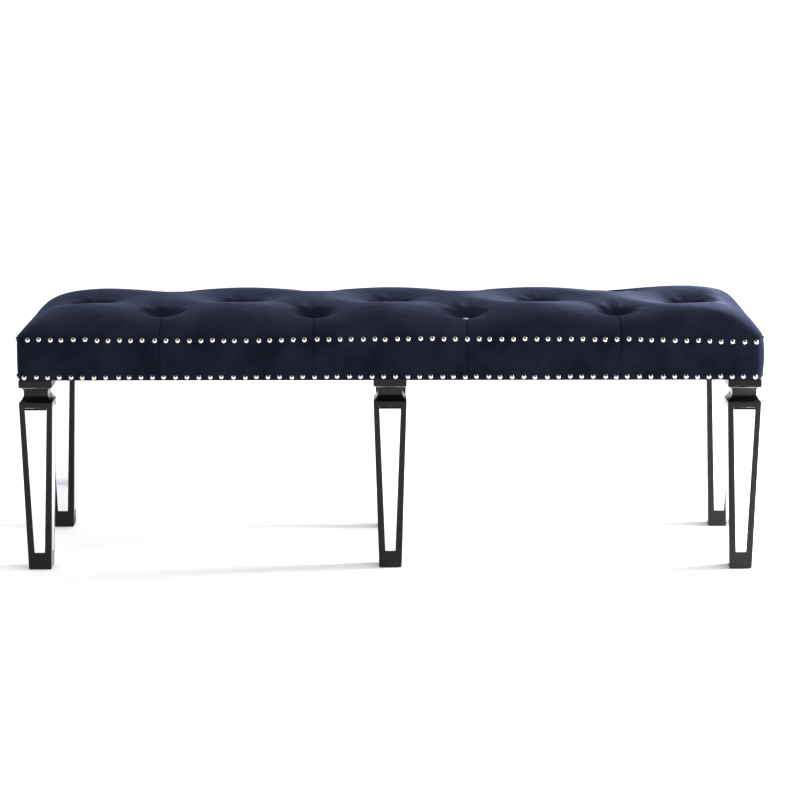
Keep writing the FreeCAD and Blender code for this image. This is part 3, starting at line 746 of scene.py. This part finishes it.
def sew_seams(item):
    """The seam from each outer tuft over the lip and down the band."""
    sizes = bpy.context.scene.bench_cushion
    points = positions(item)
    upright = points[:, 2] < sizes.band_top
    for px, py in tuft_places():
        if py == 0:
            continue
        outward = math.copysign(1, py)
        past_tuft = points[:, 1] * outward - abs(py) - SEAM_START
        away = points[:, 0] - px
        near = (past_tuft > 0) & (np.abs(away) < SEAM_REACH)
        middle = near & (np.abs(away) < SEAM_LINE)
        fade = np.clip(past_tuft / SEAM_FADE, 0, 1)
        points[near, 0] = px + away[near] * (1 - 0.5 * fade[near])
        points[middle & upright, 1] -= outward * SEAM_DEPTH
        points[near & ~middle & upright, 1] += outward * SEAM_DEPTH * 0.7
        points[middle & ~upright, 2] -= 2 * SEAM_DEPTH * fade[middle & ~upright]
    move_to(item, points)


class BENCH_OT_cushion(bpy.types.Operator):
    """Makes the tufted velvet cushion in place of the cover and the foam"""
    bl_idname = "bench.cushion"
    bl_label = "Tufted cushion"

    def execute(self, context):
        item = cushion_form()
        strain(item)
        finer = item.modifiers.new("Finer", "SUBSURF")
        finer.levels = finer.render_levels = 1
        apply_modifier(item, finer)
        sew_seams(item)
        close_underside(item)
        smooth_shading(item)
        finish_piece(item, "tufted_cushion", velvet(), ["velvet_cover", "foam_pad"])
        return {"FINISHED"}


# Buttons and nails.


BUTTON_RADIUS = 0.010


def domed_head(radius, height, sides, rings, skirt):
    """A round head, domed like a shallow cap, with a short upright skirt. Its axis is Z."""
    select_only()
    bpy.ops.mesh.primitive_circle_add(vertices=sides, radius=radius, fill_type="NGON")
    item = bpy.context.object
    bpy.ops.object.mode_set(mode="EDIT")
    bpy.ops.mesh.select_all(action="SELECT")
    bpy.ops.mesh.extrude_region_move(TRANSFORM_OT_translate={"value": (0, 0, skirt)})
    low, width = skirt, radius
    for ring in range(1, rings + 1):
        angle = math.pi / 2 * ring / (rings + 0.6)
        level = skirt + (height - skirt) * math.sin(angle)
        narrow = radius * math.cos(angle)
        bpy.ops.mesh.extrude_region_move(TRANSFORM_OT_translate={"value": (0, 0, level - low)})
        bpy.ops.transform.resize(value=(narrow / width, narrow / width, 1), center_override=(0, 0, level))
        low, width = level, narrow
    bpy.ops.mesh.poke()
    bpy.ops.mesh.select_all(action="SELECT")
    bpy.ops.mesh.normals_make_consistent(inside=False)
    bpy.ops.object.mode_set(mode="OBJECT")
    smooth_shading(item, math.radians(50))
    return item


def copies_of(master, places):
    """One object from copies of the master, each with its own mesh, at the given places."""
    made = []
    for place in places:
        copy = master.copy()
        copy.data = master.data.copy()
        copy.data.transform(place)
        bpy.context.collection.objects.link(copy)
        made.append(copy)
    bpy.data.objects.remove(master)
    select_only(*made)
    bpy.ops.object.join()
    return bpy.context.object


class BENCH_OT_buttons(bpy.types.Operator):
    """Makes the thirteen domed buttons at the bottoms of the tufts"""
    bl_idname = "bench.buttons"
    bl_label = "Tuft buttons"

    def execute(self, context):
        low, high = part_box("tuft_buttons")
        button = domed_head(BUTTON_RADIUS, high.z - low.z, sides=20, rings=4, skirt=0.0012)
        places = [Matrix.Translation((x, y, low.z + TUFT_SLACK.get(number, 0)))
                  for number, (x, y) in enumerate(tuft_places())]
        item = copies_of(button, places)
        metal = nickel("polished_nickel_buttons", bpy.context.scene.bench_trim.metal, 0.12)
        finish_piece(item, "tuft_button_heads", metal, ["tuft_buttons"])
        return {"FINISHED"}


def wander(x, guides):
    """The level of a row at x, through a few (x, rise) pairs that follow how the row was driven."""
    return float(np.interp(x, [guide[0] for guide in guides], [guide[1] for guide in guides]))


# (x, rise) pairs that the front's rows of nails follow, and how far in the upper row starts.
UPPER_ROW = ((-0.70, 0.0004), (-0.31, -0.0022), (-0.05, 0.0014), (0.25, 0.0004),
             (0.43, 0.0004), (0.55, -0.0028), (0.70, -0.0062))
UPPER_ROW_START = 0.0065
LOWER_ROW = ((-0.70, -0.0008), (0.0, 0.0004), (0.70, 0.0))


def nail_places(side, node_name, guides, seed):
    """Places for one row of nails, strayed a little as nails driven by hand are."""
    trim = bpy.context.scene.bench_trim
    stray = random.Random(seed)
    low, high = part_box(node_name)
    long_row = side in ("front", "rear")
    axis = 0 if long_row else 1
    count = trim.along if long_row else trim.across
    first, last = low[axis] + trim.radius, high[axis] - trim.radius
    if side == "front" and guides is UPPER_ROW:
        first += UPPER_ROW_START
    middle = (low.z + high.z) / 2
    turn = {"front": 0, "right": 90, "rear": 180, "left": 270}[side]
    facing = Matrix.Rotation(math.radians(turn), 4, "Z") @ Matrix.Rotation(math.radians(90), 4, "X")
    places = []
    for number in range(count):
        along = first + (last - first) * number / (count - 1) + stray.gauss(0, trim.stray)
        level = middle + stray.gauss(0, trim.stray * 0.5)
        level += wander(along if side == "front" else -along, guides) if long_row else 0
        spot = Vector((along, 0, level)) if long_row else Vector((0, along, level))
        if side == "front":
            spot.y = SEAT_LOW.y
        elif side == "rear":
            spot.y = SEAT_HIGH.y
        elif side == "left":
            spot.x = SEAT_LOW.x
        else:
            spot.x = SEAT_HIGH.x
        tilt = Matrix.Rotation(stray.uniform(0, math.tau), 4, "Z")
        places.append(Matrix.Translation(spot) @ facing @ tilt)
    return places


class BENCH_OT_nails(bpy.types.Operator):
    """Makes the two rows of bright nail heads round the band"""
    bl_idname = "bench.nails"
    bl_label = "Nail trim"

    def execute(self, context):
        trim = context.scene.bench_trim
        metal = nickel("tumbled_nickel_nails", trim.metal, 0.09)
        for seed, (row, guides) in enumerate((("upper_nails", UPPER_ROW), ("lower_nails", LOWER_ROW))):
            for number, side in enumerate(SIDES):
                name = f"{side}_{row}"
                head = domed_head(trim.radius, trim.height, sides=12, rings=3, skirt=0.0004)
                item = copies_of(head, nail_places(side, name, guides, 10 * seed + number))
                finish_piece(item, name + "_heads", metal, [name])
        return {"FINISHED"}


# Legs.


class BENCH_OT_legs(bpy.types.Operator):
    """Gives the legs eased edges and lacquer, and the panels their silvered glass"""
    bl_idname = "bench.legs"
    bl_label = "Legs and mirrors"

    def execute(self, context):
        legs = context.scene.bench_legs
        finish = lacquer()
        glass = silvered_glass()
        for name in LEGS:
            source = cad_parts[name]
            item = bpy.data.objects.new(name + "_eased", source.data.copy())
            context.collection.objects.link(item)
            select_only(item)
            bpy.ops.object.mode_set(mode="EDIT")
            bpy.ops.mesh.select_all(action="SELECT")
            bpy.ops.mesh.remove_doubles(threshold=0.00002)
            bpy.ops.mesh.dissolve_limited(angle_limit=math.radians(0.5))
            bpy.ops.object.mode_set(mode="OBJECT")
            eased = item.modifiers.new("Eased", "BEVEL")
            eased.width = legs.edge
            eased.segments = 2
            eased.limit_method = "ANGLE"
            eased.angle_limit = math.radians(28)
            eased.use_clamp_overlap = True
            eased.harden_normals = True
            apply_modifier(item, eased)
            smooth_shading(item, math.radians(25))
            finish_piece(item, name + "_lacquered", finish, [name])
            # So the panels show the bare studio and not the other legs.
            item.visible_glossy = False
            for face in LEG_FACES:
                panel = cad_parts[f"{name}_{face}_mirror"]
                panel.data.materials.clear()
                panel.data.materials.append(glass)
        return {"FINISHED"}


class BENCH_OT_frame(bpy.types.Operator):
    """Finishes the pieces inside the seat and under it"""
    bl_idname = "bench.frame"
    bl_label = "Frame and fittings"

    def execute(self, context):
        along = sawn_wood("sawn_poplar_along", "#c9a878", "#a58254", 9, True)
        across = sawn_wood("sawn_poplar_across", "#c9a878", "#a58254", 9, False)
        ply = sawn_wood("birch_plywood", "#d8bd92", "#c2a274", 14, True)
        finishes = {
            "front_rail": along, "rear_rail": along,
            "left_end_rail": across, "right_end_rail": across,
            "left_cross_rail": across, "right_cross_rail": across,
            "front_middle_block": along, "rear_middle_block": along,
            "seat_deck": ply, "dust_cover": cambric(), "tuft_twines": laid_twine(),
            "twine_toggles": along, "leg_bolts": zinc_steel(), "leg_nuts": zinc_steel(),
        }
        for row in ("front", "rear"):
            for column in ("left", "right"):
                finishes[f"{row}_{column}_corner_block"] = along
        for name, material in finishes.items():
            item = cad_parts[name]
            item.data.materials.clear()
            item.data.materials.append(material)
        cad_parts["foam_pad"].data.materials.clear()
        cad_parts["foam_pad"].data.materials.append(foam())
        return {"FINISHED"}


# Stage.


def pale_floor():
    """A painted studio floor, matt and nearly white."""
    made, shader = new_material("pale_studio_floor")
    place = node(made, "ShaderNodeTexCoord").outputs["Object"]
    roll = node(made, "ShaderNodeTexNoise", Vector=place, Scale=per_mm(400), Detail=2.0)
    colour = node(made, "ShaderNodeMix", {"data_type": "RGBA"},
                  i0=roll.outputs["Fac"], i6=opaque("#f4f4f5"), i7=opaque("#fbfbfb"))
    link(made, colour.outputs[2], shader.inputs["Base Color"])
    shader.inputs["Roughness"].default_value = 0.8
    shader.inputs["Specular IOR Level"].default_value = 0.2
    shader.inputs["Emission Color"].default_value = (1, 1, 1, 1)
    shader.inputs["Emission Strength"].default_value = 0.14
    return made


# Name, place, what it points at, width and height in metres, power in watts, colour, and whether
# polished things reflect it.
SOFTBOXES = (
    ("softbox_right", (3.0, 0.4, 2.1), (0.2, 0, 0.45), 1.6, 1.6, 75, "#fffaf4", True),
    ("softbox_low", (2.2, 0.15, 0.56), (0.66, -0.05, 0.45), 0.5, 0.3, 150, "#fffaf4", True),
    ("softbox_top", (-0.3, 0.4, 3.2), (0, 0, 0.4), 3.0, 1.6, 8, "#ffffff", False),
    ("softbox_front", (-2.6, -3.2, 1.7), (0, 0, 0.35), 1.8, 1.4, 7, "#f6f8ff", False),
)


def softbox(name, place, target, width, height, power, colour, reflected):
    """Adds a rectangular studio light."""
    light = bpy.data.lights.new(name, "AREA")
    light.shape = "RECTANGLE"
    light.size, light.size_y = width, height
    light.energy = power
    light.color = linear(colour)
    item = bpy.data.objects.new(name, light)
    item.location = place
    item.rotation_euler = (Vector(target) - Vector(place)).to_track_quat("-Z", "Y").to_euler()
    item.visible_glossy = reflected
    bpy.context.collection.objects.link(item)


def studio_room():
    """A white room, brighter at the right. Polished things reflect the dark end of it, ahead and above."""
    world = bpy.data.worlds.new("studio_room")
    world.use_nodes = True
    background = world.node_tree.nodes["Background"]
    background.inputs["Color"].default_value = (1, 1, 1, 1)
    place = node(world, "ShaderNodeTexCoord").outputs["Generated"]
    direction = node(world, "ShaderNodeSeparateXYZ", Vector=place)
    ray = node(world, "ShaderNodeLightPath")
    aside = node(world, "ShaderNodeMath", {"operation": "ABSOLUTE"}, i0=direction.outputs["X"])
    wide = node(world, "ShaderNodeMapRange", Value=aside.outputs["Value"],
                From_Min=0.5, From_Max=0.75, To_Min=1.0, To_Max=0.0)
    high = node(world, "ShaderNodeMapRange", Value=direction.outputs["Z"],
                From_Min=-0.02, From_Max=0.10, To_Min=0.0, To_Max=1.0)
    ahead = node(world, "ShaderNodeMapRange", Value=direction.outputs["Y"],
                 From_Min=-0.05, From_Max=0.15, To_Min=1.0, To_Max=0.0)
    corner = node(world, "ShaderNodeMath", {"operation": "MULTIPLY"},
                  i0=wide.outputs["Result"], i1=high.outputs["Result"])
    dark = node(world, "ShaderNodeMath", {"operation": "MULTIPLY"},
                i0=corner.outputs["Value"], i1=ahead.outputs["Result"])
    mirrored = node(world, "ShaderNodeMapRange", Value=dark.outputs["Value"], To_Min=1.05, To_Max=0.02)
    lit = node(world, "ShaderNodeMapRange", Value=direction.outputs["X"],
               From_Min=-1.0, From_Max=1.0, To_Min=0.30, To_Max=1.80)
    bounced = node(world, "ShaderNodeMix", {"data_type": "FLOAT"}, i0=ray.outputs["Is Glossy Ray"],
                   i2=lit.outputs["Result"], i3=mirrored.outputs["Result"])
    strength = node(world, "ShaderNodeMix", {"data_type": "FLOAT"}, i0=ray.outputs["Is Camera Ray"],
                    i2=bounced.outputs[0], i3=1.1)
    link(world, strength.outputs[0], background.inputs["Strength"])
    return world


class BENCH_OT_stage(bpy.types.Operator):
    """Sets up the pale floor, the soft studio light and the camera"""
    bl_idname = "bench.stage"
    bl_label = "Stage"

    def execute(self, context):
        view = context.scene.bench_stage
        select_only()
        bpy.ops.mesh.primitive_plane_add(size=40)
        floor = settle(context.object)
        floor.name = "studio_floor"
        floor.data.materials.append(pale_floor())
        for light in SOFTBOXES:
            softbox(*light)
        context.scene.world = studio_room()
        lens = bpy.data.cameras.new("camera")
        lens.lens = view.focal_length
        lens.sensor_width = 36
        lens.shift_y = view.shift
        lens.clip_end = 100
        camera = bpy.data.objects.new("camera", lens)
        turn = Matrix.Rotation(math.pi / 2 - view.pitch, 4, "X") @ Matrix.Rotation(view.roll, 4, "Z")
        camera.matrix_world = Matrix.Translation((view.sideways, -view.distance, view.height)) @ turn
        context.collection.objects.link(camera)
        context.scene.camera = camera
        context.scene.view_settings.view_transform = "Standard"
        return {"FINISHED"}


class BENCH_PT_parts(bpy.types.Panel):
    """Lists what the bench is made of"""
    bl_label = "Upholstered bench"
    bl_idname = "BENCH_PT_parts"
    bl_space_type = "VIEW_3D"
    bl_region_type = "UI"
    bl_category = "Bench"

    def draw(self, context):
        for operator in OPERATORS:
            self.layout.operator(operator.bl_idname)
        for group in GROUPS:
            settings = getattr(context.scene, group)
            for name in settings.__annotations__:
                self.layout.prop(settings, name)


GROUPS = {
    "bench_cushion": CushionSettings,
    "bench_trim": TrimSettings,
    "bench_legs": LegSettings,
    "bench_stage": StageSettings,
}
OPERATORS = (
    BENCH_OT_stage,
    BENCH_OT_frame,
    BENCH_OT_legs,
    BENCH_OT_cushion,
    BENCH_OT_buttons,
    BENCH_OT_nails,
)


def register():
    for kind in (*GROUPS.values(), *OPERATORS, BENCH_PT_parts):
        bpy.utils.register_class(kind)
    for name, kind in GROUPS.items():
        setattr(bpy.types.Scene, name, PointerProperty(type=kind))


def unregister():
    for name in GROUPS:
        delattr(bpy.types.Scene, name)
    for kind in reversed((*GROUPS.values(), *OPERATORS, BENCH_PT_parts)):
        bpy.utils.unregister_class(kind)


def main():
    register()
    bpy.ops.bench.stage()
    bpy.ops.bench.frame()
    bpy.ops.bench.legs()
    bpy.ops.bench.cushion()
    bpy.ops.bench.buttons()
    bpy.ops.bench.nails()


if __name__ == "__main__":
    main()
